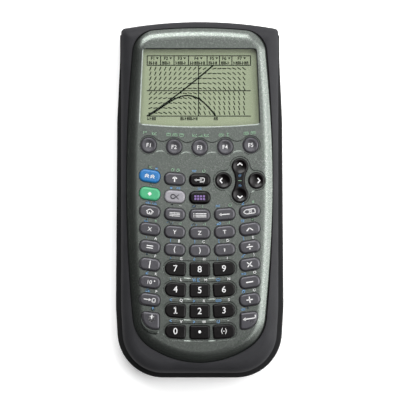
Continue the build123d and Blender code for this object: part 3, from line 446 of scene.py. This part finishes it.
# Marks drawn one unit tall about their centre.
MARKS = {
    "arrow_up": [("stroke", 0.16, [(0, -0.5), (0, 0.45)]),
                 ("stroke", 0.16, [(-0.36, 0.1), (0, 0.48), (0.36, 0.1)])],
    "arrow_left": [("stroke", 0.2, [(-1.2, 0), (1.3, 0)]),
                   ("fill", [(-1.6, 0), (-0.9, -0.42), (-0.9, 0.42)])],
    "second": [("stroke", 0.18, [(x - 0.45, -0.4), (x, 0.05), (x + 0.45, -0.4)]) for x in (-0.75, 0.75)]
    + [("stroke", 0.18, [(x - 0.45, 0.05), (x, 0.5), (x + 0.45, 0.05)]) for x in (-0.75, 0.75)],
    "leave": [("stroke", 0.15, [(0.1, -0.5), (1.2, -0.5), (1.2, 0.5), (0.1, 0.5)]),
              ("stroke", 0.15, [(0.6, 0), (-1.2, 0)]), ("fill", [(-1.45, 0), (-0.85, -0.33), (-0.85, 0.33)])],
    "diamond": [("fill", [(0, -0.5), (0.5, 0), (0, 0.5), (-0.5, 0)])],
    "loop": [("arc", 0.16, -0.35, 0, 0.42, 40, 320), ("stroke", 0.16, [(-0.03, -0.27), (0.75, 0.42)]),
             ("stroke", 0.16, [(-0.03, 0.27), (0.75, -0.42)])],
    "tiles": [("fill", box_points(0.21, 0.21, x, y)) for x in (-0.9, -0.3, 0.3, 0.9) for y in (-0.28, 0.28)],
    "house": [("stroke", 0.13, [(-0.75, 0.0), (0, 0.55), (0.75, 0.0)]),
              ("stroke", 0.14, [(-0.5, 0.1), (-0.5, -0.5), (0.5, -0.5), (0.5, 0.1)]),
              ("fill", box_points(0.13, 0.2, 0, -0.3))],
    "sliders": [("stroke", 0.12, [(-1.3, y), (1.3, y)]) for y in (-0.4, 0.0, 0.4)]
    + [("dot", x, y, 0.19) for x, y in ((-0.6, -0.4), (0.7, 0.0), (-0.1, 0.4))],
    "list": [("stroke", 0.13, [(-1.0, y), (1.6, y)]) for y in (-0.4, 0.0, 0.4)]
    + [("dot", -1.45, y, 0.12) for y in (-0.4, 0.0, 0.4)],
    "erase": [("stroke", 0.14, closed([(-1.5, 0), (-0.9, -0.5), (1.3, -0.5), (1.3, 0.5), (-0.9, 0.5)])),
              ("stroke", 0.14, [(-0.15, -0.22), (0.45, 0.22)]),
              ("stroke", 0.14, [(-0.15, 0.22), (0.45, -0.22)])],
    "store": [("stroke", 0.15, [(-1.4, 0), (-0.1, 0)]), ("fill", [(0.35, 0), (-0.25, -0.35), (-0.25, 0.35)]),
              ("stroke", 0.13, closed(box_points(0.36, 0.42, 0.95, 0)))],
    "power": [("arc", 0.17, 0, -0.05, 0.46, 130, 410, 18), ("stroke", 0.17, [(0, 0.0), (0, 0.6)])],
    "return": [("stroke", 0.16, [(1.5, 0.5), (1.5, -0.12), (-1.1, -0.12)]),
               ("fill", [(-1.5, -0.12), (-0.8, -0.52), (-0.8, 0.28)])],
    "minus": [("stroke", 0.16, [(-0.55, 0), (0.55, 0)])],
    "plus": [("stroke", 0.15, [(-0.5, 0), (0.5, 0)]), ("stroke", 0.15, [(0, -0.5), (0, 0.5)])],
    "times": [("stroke", 0.14, [(-0.4, -0.4), (0.4, 0.4)]), ("stroke", 0.14, [(-0.4, 0.4), (0.4, -0.4)])],
    "divide": [("stroke", 0.14, [(-0.5, 0), (0.5, 0)]), ("dot", 0, 0.38, 0.13), ("dot", 0, -0.38, 0.13)],
    "equals": [("stroke", 0.13, [(-0.55, 0.2), (0.55, 0.2)]),
               ("stroke", 0.13, [(-0.55, -0.2), (0.55, -0.2)])],
    "caret": [("stroke", 0.16, [(-0.55, -0.25), (0, 0.25), (0.55, -0.25)])],
    "bar": [("stroke", 0.14, [(0, -0.6), (0, 0.6)])],
    "point": [("dot", 0, 0, 0.34)],
    "one": [("stroke", 0.13, [(0.02, -0.48), (0.02, 0.46), (-0.18, 0.3)]),
            ("stroke", 0.1, [(-0.2, -0.48), (0.24, -0.48)])],
    "comma": [("dot", 0, 0.1, 0.17), ("stroke", 0.15, [(0.08, 0.06), (-0.05, -0.3)])],
    "root": [("stroke", 0.12, [(-0.7, -0.05), (-0.5, 0.05), (-0.3, -0.5), (0.0, 0.5), (0.7, 0.5)])],
    "sum": [("stroke", 0.12, [(0.4, 0.5), (-0.4, 0.5), (0.1, 0), (-0.4, -0.5), (0.4, -0.5)])],
    "integral": [("arc", 0.11, 0.2, 0.32, 0.18, 20, 180), ("stroke", 0.11, [(0.02, 0.32), (-0.02, -0.32)]),
                 ("arc", 0.11, -0.2, -0.32, 0.18, 200, 360)],
    "pi": [("stroke", 0.12, [(-0.55, 0.35), (0.55, 0.35)]), ("stroke", 0.12, [(-0.25, 0.35), (-0.3, -0.45)]),
           ("stroke", 0.12, [(0.25, 0.35), (0.3, -0.45)])],
    "theta": [("arc", 0.12, 0, 0, 0.42, 0, 360, 20), ("stroke", 0.1, [(-0.36, 0), (0.36, 0)])],
    "infinity": [("arc", 0.12, -0.38, 0, 0.32, 45, 315), ("arc", 0.12, 0.38, 0, 0.32, -135, 135),
                 ("stroke", 0.12, [(-0.15, 0.23), (0.15, -0.23)]),
                 ("stroke", 0.12, [(-0.15, -0.23), (0.15, 0.23)])],
    "pane": [("stroke", 0.11, closed(box_points(0.75, 0.45))), ("stroke", 0.11, [(-0.75, 0.2), (0.75, 0.2)])],
    "plot": [("stroke", 0.11, [(-0.8, 0.5), (-0.8, -0.45), (0.8, -0.45)]),
             ("stroke", 0.11, [(-0.7, -0.25), (-0.25, 0.3), (0.2, -0.1), (0.75, 0.45)])],
    "table": [("stroke", 0.1, closed(box_points(0.85, 0.45))), ("stroke", 0.1, [(-0.85, 0.1), (0.85, 0.1)]),
              ("stroke", 0.1, [(-0.25, 0.45), (-0.25, -0.45)]),
              ("stroke", 0.1, [(0.35, 0.45), (0.35, -0.45)])],
    "gauge": [("arc", 0.11, 0, -0.3, 0.7, 0, 180), ("stroke", 0.11, [(0, -0.3), (0.35, 0.15)]),
              ("stroke", 0.11, [(-0.85, -0.4), (0.85, -0.4)])],
    "scissors": [("stroke", 0.1, [(-0.5, -0.3), (0.6, 0.4)]), ("stroke", 0.1, [(-0.5, 0.3), (0.6, -0.4)]),
                 ("arc", 0.1, -0.62, 0.32, 0.16, 0, 360), ("arc", 0.1, -0.62, -0.32, 0.16, 0, 360)],
    "sheets": [("stroke", 0.1, closed(box_points(0.35, 0.4, -0.15, -0.08))),
               ("stroke", 0.1, [(-0.25, 0.5), (0.45, 0.5), (0.45, -0.25)])],
    "clip": [("stroke", 0.1, closed(box_points(0.42, 0.45, 0, -0.05))),
             ("fill", box_points(0.2, 0.1, 0, 0.42))],
    "lock": [("fill", box_points(0.4, 0.27, 0, -0.2)), ("arc", 0.11, 0, 0.1, 0.25, 0, 180)],
    "bulb": [("arc", 0.1, 0, 0.12, 0.32, -60, 240), ("stroke", 0.1, [(-0.14, -0.45), (0.14, -0.45)])],
    "swap": [("stroke", 0.1, [(-0.7, 0.2), (0.6, 0.2)]),
             ("fill", [(0.85, 0.2), (0.45, 0.42), (0.45, -0.02)]),
             ("stroke", 0.1, [(0.7, -0.25), (-0.6, -0.25)]),
             ("fill", [(-0.85, -0.25), (-0.45, -0.03), (-0.45, -0.47)])],
    "less": [("stroke", 0.13, [(0.35, 0.35), (-0.35, 0), (0.35, -0.35)])],
    "greater": [("stroke", 0.13, [(-0.35, 0.35), (0.35, 0), (-0.35, -0.35)])],
    "angle": [("stroke", 0.12, [(0.5, 0.35), (-0.45, -0.4), (0.5, -0.4)])],
    "wave": [("arc", 0.13, -0.45, -0.05, 0.45, 0, 180), ("arc", 0.13, 0.45, -0.05, 0.45, 180, 360)],
    "hill": [("arc", 0.13, 0, -0.4, 0.5, 0, 180), ("stroke", 0.11, [(-0.9, -0.4), (-0.5, -0.4)]),
             ("stroke", 0.11, [(0.5, -0.4), (0.9, -0.4)])],
    "wedge": [("stroke", 0.13, closed([(-0.8, -0.42), (0.8, -0.42), (0.8, 0.45)]))],
    "growth": [("arc", 0.13, -0.75, 0.5, 0.95, -90, 0), ("stroke", 0.11, [(-0.75, -0.62), (0.6, -0.62)])],
    "ring": [("arc", 0.12, 0, 0.25, 0.2, 0, 360)],
    "colon": [("dot", 0, 0.28, 0.13), ("dot", 0, -0.28, 0.13)],
    "ruler": [("stroke", 0.1, closed(box_points(0.95, 0.3)))]
    + [("stroke", 0.09, [(x, 0.3), (x, 0.02)]) for x in (-0.6, -0.2, 0.2, 0.6)],
    "memory": [("stroke", 0.1, closed(box_points(0.6, 0.32)))]
    + [("stroke", 0.1, [(x, 0.32), (x, 0.52)]) for x in (-0.4, 0.0, 0.4)]
    + [("stroke", 0.1, [(x, -0.32), (x, -0.52)]) for x in (-0.4, 0.0, 0.4)],
    "chain": [("stroke", 0.11, closed(box_points(0.4, 0.22, -0.4, 0))),
              ("stroke", 0.11, closed(box_points(0.4, 0.22, 0.4, 0)))],
    "chevron_left": [("stroke", 0.2, [(0.22, 0.5), (-0.2, 0), (0.22, -0.5)])],
    "chevron_right": [("stroke", 0.2, [(-0.22, 0.5), (0.2, 0), (-0.22, -0.5)])],
    "chevron_up": [("stroke", 0.2, [(-0.5, -0.22), (0, 0.2), (0.5, -0.22)])],
    "chevron_down": [("stroke", 0.2, [(-0.5, 0.22), (0, -0.2), (0.5, 0.22)])],
}

# What each key's cap shows: mark or characters, height in millimetres, ink.
CAPS = {
    "second_key": ("second", 2.0, WHITE),
    "shift_key": ("arrow_up", 2.7, WHITE),
    "escape_key": ("leave", 2.0, WHITE),
    "diamond_key": ("diamond", 2.2, WHITE),
    "alpha_key": ("loop", 2.7, DARK),
    "apps_key": ("tiles", 2.5, PURPLE),
    "home_key": ("house", 2.5, WHITE),
    "mode_key": ("sliders", 2.0, WHITE),
    "catalog_key": ("list", 2.1, WHITE),
    "backspace_key": ("arrow_left", 1.9, WHITE),
    "clear_key": ("erase", 2.2, WHITE),
    "x_key": ("X", 2.2, WHITE),
    "y_key": ("Y", 2.2, WHITE),
    "z_key": ("Z", 2.2, WHITE),
    "t_key": ("T", 2.2, WHITE),
    "power_key": ("caret", 2.7, WHITE),
    "equals_key": ("equals", 2.8, WHITE),
    "open_bracket_key": ("(", 2.7, WHITE),
    "close_bracket_key": (")", 2.7, WHITE),
    "comma_key": ("comma", 2.6, WHITE),
    "divide_key": ("divide", 2.9, WHITE),
    "bar_key": ("bar", 3.0, WHITE),
    "multiply_key": ("times", 2.8, WHITE),
    "exponent_key": ("10", 2.1, WHITE),
    "subtract_key": ("minus", 3.0, WHITE),
    "store_key": ("store", 2.2, WHITE),
    "add_key": ("plus", 2.9, WHITE),
    "on_key": ("power", 2.9, WHITE),
    "enter_key": ("return", 2.3, WHITE),
    "decimal_key": ("point", 2.2, WHITE),
    "negate_key": ("(-)", 2.4, WHITE),
}

# Small marks printed above each key: mark, sideways place in millimetres, ink.
OVER = {
    "f1_key": [("y=", -2.6, GREEN), ("plot", 2.4, GREEN)],
    "f2_key": [("pane", -3.2, GREEN), ("table", 0.2, GREEN), ("pane", 3.6, GREEN)],
    "f3_key": [("plot", -2.6, GREEN), ("gauge", 0.6, GREEN), ("plot", 3.6, GREEN)],
    "f4_key": [("table", -1.8, GREEN), ("sum", 1.6, GREEN)],
    "f5_key": [("table", -1.8, GREEN), ("table", 1.8, GREEN)],
    "second_key": [("scissors", -0.6, GREEN), ("lock", 2.9, BLUE)],
    "shift_key": [("sheets", -1.4, GREEN), ("sheets", 1.4, GREEN)],
    "escape_key": [("swap", -2.9, BLUE), ("clip", 2.2, GREEN)],
    "diamond_key": [("bulb", 0.0, GREEN)],
    "alpha_key": [("lock", -2.2, BLUE), ("swap", 1.6, BLUE)],
    "apps_key": [("swap", 0.0, BLUE)],
    "home_key": [("gauge", -1.6, BLUE), ("gauge", 1.9, BLUE)],
    "mode_key": [("ring", -1.8, BLUE), ("_", 2.6, WHITE)],
    "catalog_key": [("infinity", -3.0, BLUE), ("i", 1.4, GREEN)],
    "backspace_key": [("swap", -3.3, BLUE), ("clip", 3.2, GREEN)],
    "clear_key": [("angle", -3.0, BLUE), ("#", 2.6, GREEN)],
    "x_key": [("growth", -2.4, BLUE), ("e", 2.5, GREEN)],
    "y_key": [("wave", -3.0, BLUE), ("-1", 2.4, GREEN)],
    "z_key": [("hill", -3.0, BLUE), ("-1", 2.4, GREEN)],
    "t_key": [("wedge", -3.0, BLUE), ("-1", 2.4, GREEN)],
    "power_key": [("pi", -2.9, BLUE), ("theta", 2.3, GREEN)],
    "equals_key": [("'", -2.5, BLUE), ("A", 2.4, WHITE)],
    "open_bracket_key": [("{", -2.6, BLUE), ("B", 2.0, WHITE)],
    "close_bracket_key": [("}", -2.6, BLUE), ("C", 2.0, WHITE)],
    "comma_key": [("[", -2.6, BLUE), ("D", 2.0, WHITE)],
    "divide_key": [("]", -2.6, BLUE), ("E", 2.6, WHITE)],
    "bar_key": [("ring", -2.3, BLUE), ("F", 2.2, WHITE)],
    "digit_7_key": [("integral", -3.0, BLUE), ("G", 2.6, WHITE)],
    "digit_8_key": [("d", -2.9, BLUE), ("H", 2.3, WHITE)],
    "digit_9_key": [(";", -2.9, BLUE), ("I", 2.2, WHITE)],
    "multiply_key": [("root", -2.6, BLUE), ("J", 2.9, WHITE)],
    "exponent_key": [("angle", -2.3, BLUE), ("K", 2.7, WHITE)],
    "digit_4_key": [("colon", -3.0, BLUE), ("L", 2.6, WHITE)],
    "digit_5_key": [("pi", -2.9, BLUE), ("sum", -0.8, BLUE), ("M", 3.2, WHITE)],
    "digit_6_key": [("memory", -2.6, BLUE), ("N", 3.0, WHITE)],
    "subtract_key": [("chain", -2.4, BLUE), ("O", 3.4, WHITE)],
    "store_key": [("gauge", -1.8, BLUE), ("P", 2.8, WHITE)],
    "digit_1_key": [("less", -3.0, BLUE), ("Q", 2.6, WHITE)],
    "digit_2_key": [("greater", -2.9, BLUE), ("R", 2.3, WHITE)],
    "digit_3_key": [("ruler", -2.4, BLUE), ("S", 3.0, WHITE)],
    "add_key": [("sheets", -2.4, BLUE), ("U", 3.2, WHITE)],
    "on_key": [("power", 0.2, BLUE)],
    "digit_0_key": [("less", -3.0, BLUE), ("V", 2.6, WHITE)],
    "decimal_key": [("greater", -2.9, BLUE), ("W", 2.3, WHITE)],
    "negate_key": [("clip", -2.6, BLUE), ("_", 2.6, WHITE)],
    "enter_key": [("swap", -2.0, BLUE), ("ring", 0.6, BLUE)],
}

SOFT_KEYS = [f"f{number}_key" for number in range(1, 6)]


def key_place(node):
    """Centre of a key's cap in millimetres and its tilt, from its box and the row's curve."""
    low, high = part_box(node)
    x, y, z = ((low.x + high.x) / 2 / MM, (low.y + high.y) / 2 / MM, high.z / MM)
    radius = SOFT_ROW_RADIUS if node in SOFT_KEYS else SMILE_RADIUS
    tilt = math.asin(x / radius)
    return Matrix.Translation((x, y, z)) @ Matrix.Rotation(tilt, 4, "Z"), (x, y)


def print_caps(materials):
    """The mark on each key's cap."""
    for node in frame["nodes"]:
        if not node.endswith("_key") or node.startswith("cursor"):
            continue
        place, centre = key_place(node)
        ink, dish = Print(), None
        if node in SOFT_KEYS:
            symbol, height, colour = node[:2].upper(), 2.2, WHITE
            dish = (centre, *SOFT_DISH)
        elif node.startswith("digit_"):
            symbol, height, colour = node[6].replace("1", "one"), 3.4, WHITE
        else:
            symbol, height, colour = CAPS[node]
        if node.startswith("digit_") or node in ("decimal_key", "negate_key"):
            place = Matrix.Translation(place.translation) @ Matrix.Translation((0, DIGIT_RISE, 0))
        if node in ("on_key", "enter_key"):
            place = place @ Matrix.Translation(CORNER_CAP_SHIFT)
        ink.mark(symbol, height, place, CAP_WEIGHT)
        if node == "exponent_key":
            ink.mark("diamond", SUPERSCRIPT_HEIGHT, place @ Matrix.Translation(SUPERSCRIPT_SHIFT))
        ink.object(node.replace("_key", "_legend"), materials[colour], node, dish)


def print_faceplate(materials):
    """The small marks above the keys, one mesh for each ink."""
    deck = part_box("faceplate")[1].z / MM
    inks = {WHITE: Print(), BLUE: Print(), GREEN: Print()}
    for node, marks in OVER.items():
        place, centre = key_place(node)
        rise = LEGEND_RISE
        if node in SOFT_KEYS:
            rise = SOFT_LEGEND_RISE
        elif node.startswith("digit_") or node in ("decimal_key", "negate_key"):
            rise = DIGIT_LEGEND_RISE
        elif node in ("on_key", "enter_key"):
            rise = CORNER_LEGEND_RISE
        place.translation.z = deck
        for symbol, aside, colour in marks:
            spot = place @ Matrix.Translation((aside, rise, 0))
            inks[colour].mark(symbol, FACE_MARK_HEIGHT, spot, FACE_WEIGHT)
    for colour, ink in inks.items():
        ink.object("faceplate_" + colour, materials[colour], HOUSING)


def print_cursor_pad(materials):
    """White chevrons at the outer side of each cursor key."""
    for node, symbol, side in (
        ("cursor_left_key", "chevron_left", -1),
        ("cursor_right_key", "chevron_right", 1),
    ):
        low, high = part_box(node)
        centre = ((low.x + high.x) / 2 / MM, (low.y + high.y) / 2 / MM)
        spot = Matrix.Translation((centre[0] + side * CHEVRON_OFFSET, centre[1], high.z / MM))
        ink = Print()
        ink.mark(symbol, CHEVRON_HEIGHT, spot, CAP_WEIGHT)
        ink.object(node.replace("_key", "_legend"), materials[WHITE], node, (centre, *PAD_DISH))
    low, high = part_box("cursor_rocker")
    x = (low.x + high.x) / 2 / MM
    reach = (low.x - high.x) / 2 / MM
    for name, symbol, y, side in (
        ("up", "chevron_up", high.y / MM + reach, 1),
        ("down", "chevron_down", low.y / MM - reach, -1),
    ):
        spot = Matrix.Translation((x, y + side * CHEVRON_OFFSET, high.z / MM))
        ink = Print()
        ink.mark(symbol, CHEVRON_HEIGHT, spot, CAP_WEIGHT)
        ink.object("cursor_" + name + "_legend", materials[WHITE], "cursor_rocker", ((x, y), *PAD_DISH))
    middle = Matrix.Translation((x, (low.y + high.y) / 2 / MM, high.z / MM))
    waist = (("blue", BLUE, (("theta", 2.6), ("theta", -2.6))), ("green", GREEN, (("minus", 0.0),)))
    for name, colour, marks in waist:
        ink = Print()
        for symbol, rise in marks:
            ink.mark(symbol, WAIST_MARK_HEIGHT, middle @ Matrix.Translation((0, rise, 0)))
        ink.object("cursor_waist_" + name, materials[colour], "cursor_rocker")


# ======================= the display's picture =======================

PIXEL_PITCH = 0.34
SCREEN_X = (-27.7, 26.8)
SCREEN_Y = (44.4, 76.1)
TOOLBAR_LOW = 71.1
AXIS_X = -0.6
AXIS_Y = 57.7
STATUS_Y = 43.0
BLOCK_PITCH = 1.15
BLOCK_HEIGHT = 1.35
BLOCK_STROKE = 0.42
TOOLBAR_CELLS = [0.13, 0.26, 0.40, 0.58, 0.70, 0.82]
DASH_STEP = 2.6
DASH_LENGTH = 1.85
DASH_WIDTH = 0.52
CURVE_WIDTH = 0.78
LINE = 0.5
MENU_TEXT_HEIGHT = 1.7
MENU_TEXT_WEIGHT = 3.0
MENU_TEXT_PLACE = (-0.7, -1.35)
MENU_ARROW = ((2.6, -0.8), (1.8, -1.9), (1.0, -0.8))
BLOCK_SIDES = (0.25, 0.3)
STATUS_WORDS = ((0.0, 5.2), (17.4, 9.6), (35.0, 2.6))
CURVE_STEPS = 24
RISE_REACH = (34.7, 26.6)
HUMP_REACH = (36.0, 10.9)


def flow_slope(x, y):
    """Slope of the differential equation whose direction field the display shows."""
    return 0.11 * (y - SCREEN_Y[0] - 0.63 * (x - SCREEN_X[0]))


def blocks(ink, start, end, low, seed, place):
    """A row of small block characters that spell nothing."""
    for number in range(int((end - start) / BLOCK_PITCH)):
        x = start + BLOCK_PITCH * (number + 0.5)
        left, right = x - BLOCK_SIDES[0], x + BLOCK_SIDES[1]
        shape = (number * 5 + seed * 3) % 4
        bar = low + BLOCK_HEIGHT * (shape + 1) / 4
        ink.stroke([(left, low), (left, low + BLOCK_HEIGHT)], BLOCK_STROKE, place)
        ink.stroke([(left, bar), (right, bar)], BLOCK_STROKE, place)
        if shape > 1:
            ink.stroke([(right, low), (right, low + BLOCK_HEIGHT)], BLOCK_STROKE, place)


def draw_display(materials):
    """A direction field with two solution curves, axes, a toolbar and a status line."""
    place = Matrix.Translation((0, 0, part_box("lcd_module")[1].z / MM))
    ink = Print()
    (left, right), (low, high) = SCREEN_X, SCREEN_Y
    ink.stroke(closed([(left, TOOLBAR_LOW), (right, TOOLBAR_LOW), (right, high), (left, high)]), LINE, place)
    edges = [left] + [left + (right - left) * part for part in TOOLBAR_CELLS] + [right]
    for number, (start, end) in enumerate(zip(edges, edges[1:]), start=1):
        ink.stroke([(end, TOOLBAR_LOW), (end, high)], LINE, place)
        middle = (start + end) / 2
        spot = place @ Matrix.Translation((middle + MENU_TEXT_PLACE[0], high + MENU_TEXT_PLACE[1], 0))
        ink.text(f"F{number}", MENU_TEXT_HEIGHT, spot, MENU_TEXT_WEIGHT)
        ink.plate([(middle + dx, high + dy) for dx, dy in MENU_ARROW], place)
        blocks(ink, start + 0.7, end - 0.9, TOOLBAR_LOW + 0.55, number, place)
    ink.stroke([(AXIS_X, low), (AXIS_X, TOOLBAR_LOW)], LINE, place)
    ink.stroke([(left, AXIS_Y), (right, AXIS_Y)], LINE, place)
    ink.stroke([(left, low - 0.1), (right, low - 0.1)], LINE, place)
    columns = int((right - left) / DASH_STEP)
    rows = int((TOOLBAR_LOW - low) / DASH_STEP)
    for column in range(columns):
        for row in range(rows):
            x = left + DASH_STEP * (column + 0.65)
            y = low + DASH_STEP * (row + 0.6)
            turn = math.atan(flow_slope(x, y))
            dx, dy = DASH_LENGTH / 2 * math.cos(turn), DASH_LENGTH / 2 * math.sin(turn)
            ink.stroke([(x - dx, y - dy), (x + dx, y + dy)], DASH_WIDTH, place)
    rise, hump = [], []
    for step in range(CURVE_STEPS + 1):
        part = step / CURVE_STEPS
        rise.append((left + RISE_REACH[0] * part, low + RISE_REACH[1] * (0.86 * part + 0.14 * part**2)))
        arch = math.sin(math.pi * part**1.32) ** 0.93
        hump.append((left + HUMP_REACH[0] * part, low + HUMP_REACH[1] * arch * (1 - 0.02 * part)))
    for line in (rise, hump):
        ink.stroke(line, CURVE_WIDTH, place)
    for number, (inset, length) in enumerate(STATUS_WORDS):
        blocks(ink, left + inset, left + inset + length, STATUS_Y - 0.75, number, place)
    ink.object("display_picture", materials["lcd_ink"], HOUSING)


# ======================= small pieces behind =======================

# The feet's outline as (radius, height above the back), and their places.
FOOT_PROFILE = ((0.6, -1.3), (2.6, -1.1), (3.3, -0.6), (3.6, 0.05))
FEET_X = (("left", -28.0), ("right", 28.0))
FEET_Y = (("upper", 68.0), ("lower", -70.0))


def lathe(profile, centre, name, material, body, sides=32):
    """A turned piece: profile points of (radius, height) in millimetres about an upright axis."""
    bm = bmesh.new()
    rings = []
    for radius, height in profile:
        ring = []
        for i in range(sides):
            turn = 2 * math.pi * i / sides
            spot = (centre[0] + radius * math.cos(turn), centre[1] + radius * math.sin(turn), height)
            ring.append(bm.verts.new(Vector(spot) * MM))
        rings.append(ring)
    for lower, upper in zip(rings, rings[1:]):
        for i in range(sides):
            j = (i + 1) % sides
            bm.faces.new((lower[i], lower[j], upper[j], upper[i]))
    bm.faces.new(rings[0][::-1])
    bm.faces.new(rings[-1])
    mesh = bpy.data.meshes.new(name)
    bm.to_mesh(mesh)
    bm.free()
    for face in mesh.polygons:
        face.use_smooth = True
    mesh.materials.append(material)
    thing = bpy.data.objects.new(name, mesh)
    bpy.context.scene.collection.objects.link(thing)
    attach(thing, body)
    return thing


def rubber_feet(materials):
    """Four domed rubber feet on the calculator's back."""
    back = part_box("back_housing")[0].z / MM
    profile = [(radius, back + height) for radius, height in FOOT_PROFILE]
    for side, x in FEET_X:
        for end, y in FEET_Y:
            lathe(profile, (x, y), f"rubber_foot_{end}_{side}", materials["rubber"], HOUSING)


# ======================= stage, light and camera =======================

def make_floor():
    """A pale light table that the object lies on, clear from below so that the underside shows."""
    size, low = FLOOR_HALF, FLOOR_LOW
    mesh = bpy.data.meshes.new("floor")
    corners = [(-size, -size, low), (size, -size, low), (size, size, low), (-size, size, low)]
    mesh.from_pydata(corners, [], [(0, 1, 2, 3)])
    material, shader = blank_material("floor_paper")
    shader.inputs["Base Color"].default_value = (0.9, 0.9, 0.9, 1)
    shader.inputs["Roughness"].default_value = 0.8
    shader.inputs["Emission Color"].default_value = (1, 1, 1, 1)
    shader.inputs["Emission Strength"].default_value = FLOOR_GLOW
    nodes, links = material.node_tree.nodes, material.node_tree.links
    side = nodes.new("ShaderNodeNewGeometry")
    clear = nodes.new("ShaderNodeBsdfTransparent")
    either = nodes.new("ShaderNodeMixShader")
    links.new(side.outputs["Backfacing"], either.inputs[0])
    links.new(shader.outputs["BSDF"], either.inputs[1])
    links.new(clear.outputs["BSDF"], either.inputs[2])
    links.new(either.outputs["Shader"], nodes["Material Output"].inputs["Surface"])
    mesh.materials.append(material)
    floor = bpy.data.objects.new("floor", mesh)
    bpy.context.scene.collection.objects.link(floor)


def area_light(name, place, aim, size, radiance):
    """A soft rectangular light, aimed at a point, its strength given as the brightness of its face."""
    light = bpy.data.lights.new(name, "AREA")
    light.shape = "RECTANGLE"
    light.size, light.size_y = size
    light.energy = radiance * math.pi * size[0] * size[1]
    lamp = bpy.data.objects.new(name, light)
    lamp.location = place
    lamp.rotation_mode = "QUATERNION"
    lamp.rotation_quaternion = (Vector(aim) - Vector(place)).to_track_quat("-Z", "Y")
    bpy.context.scene.collection.objects.link(lamp)
    return lamp


def make_world():
    """A studio room: bright to the right, dim overhead, dark to the left and towards the lower end."""
    world = bpy.data.worlds.new("studio")
    world.use_nodes = True
    nodes, links = world.node_tree.nodes, world.node_tree.links
    nodes.clear()
    output = nodes.new("ShaderNodeOutputWorld")
    background = nodes.new("ShaderNodeBackground")
    place = nodes.new("ShaderNodeTexCoord")
    lean = nodes.new("ShaderNodeVectorMath")
    lean.operation = "DOT_PRODUCT"
    lean.inputs[1].default_value = ROOM_LEAN
    sweep = nodes.new("ShaderNodeMapRange")
    sweep.interpolation_type = "SMOOTHSTEP"
    for socket, value in zip(("From Min", "From Max", "To Min", "To Max"), ROOM_RANGE):
        sweep.inputs[socket].default_value = value
    background.inputs["Color"].default_value = (1, 1, 1, 1)
    links.new(place.outputs["Generated"], lean.inputs[0])
    links.new(lean.outputs["Value"], sweep.inputs["Value"])
    links.new(sweep.outputs["Result"], background.inputs["Strength"])
    links.new(background.outputs["Background"], output.inputs["Surface"])
    bpy.context.scene.world = world


def make_lights():
    """A high key from the upper left, a softbox over the display end, two on the right, and the room."""
    area_light("key_box", (-0.20, 0.70, 0.84), (0, 0, 0), (0.85, 0.55), 6.3)
    area_light("display_end_box", (0.10, 0.14, 0.50), (0.10, 0.14, 0), (0.36, 0.40), 0.76)
    area_light("right_overhead_box", (0.37, 0.0, 0.50), (0.37, 0.0, 0), (0.42, 0.6), 1.8)
    area_light("right_box", (0.50, 0.0, 0.24), (0, 0, 0.02), (0.36, 0.8), 2.6)
    make_world()
    bpy.context.scene.view_settings.view_transform = "Standard"


def make_camera():
    """Looks straight down, with the display end at the top of the picture."""
    data = bpy.data.cameras.new("camera")
    data.sensor_width = SENSOR_WIDTH
    data.lens = SENSOR_WIDTH * CAMERA_DISTANCE / (FRAME_WIDTH * MM)
    camera = bpy.data.objects.new("camera", data)
    height = REFERENCE_HEIGHT * MM + CAMERA_DISTANCE
    camera.location = (FRAME_CENTRE[0] * MM, FRAME_CENTRE[1] * MM, height)
    data.clip_end = 10.0
    bpy.context.scene.collection.objects.link(camera)
    bpy.context.scene.camera = camera


def main():
    make_camera()
    make_floor()
    make_lights()
    materials = make_materials()
    dress_nodes(materials)
    print_caps(materials)
    print_faceplate(materials)
    print_cursor_pad(materials)
    draw_display(materials)
    rubber_feet(materials)


main()
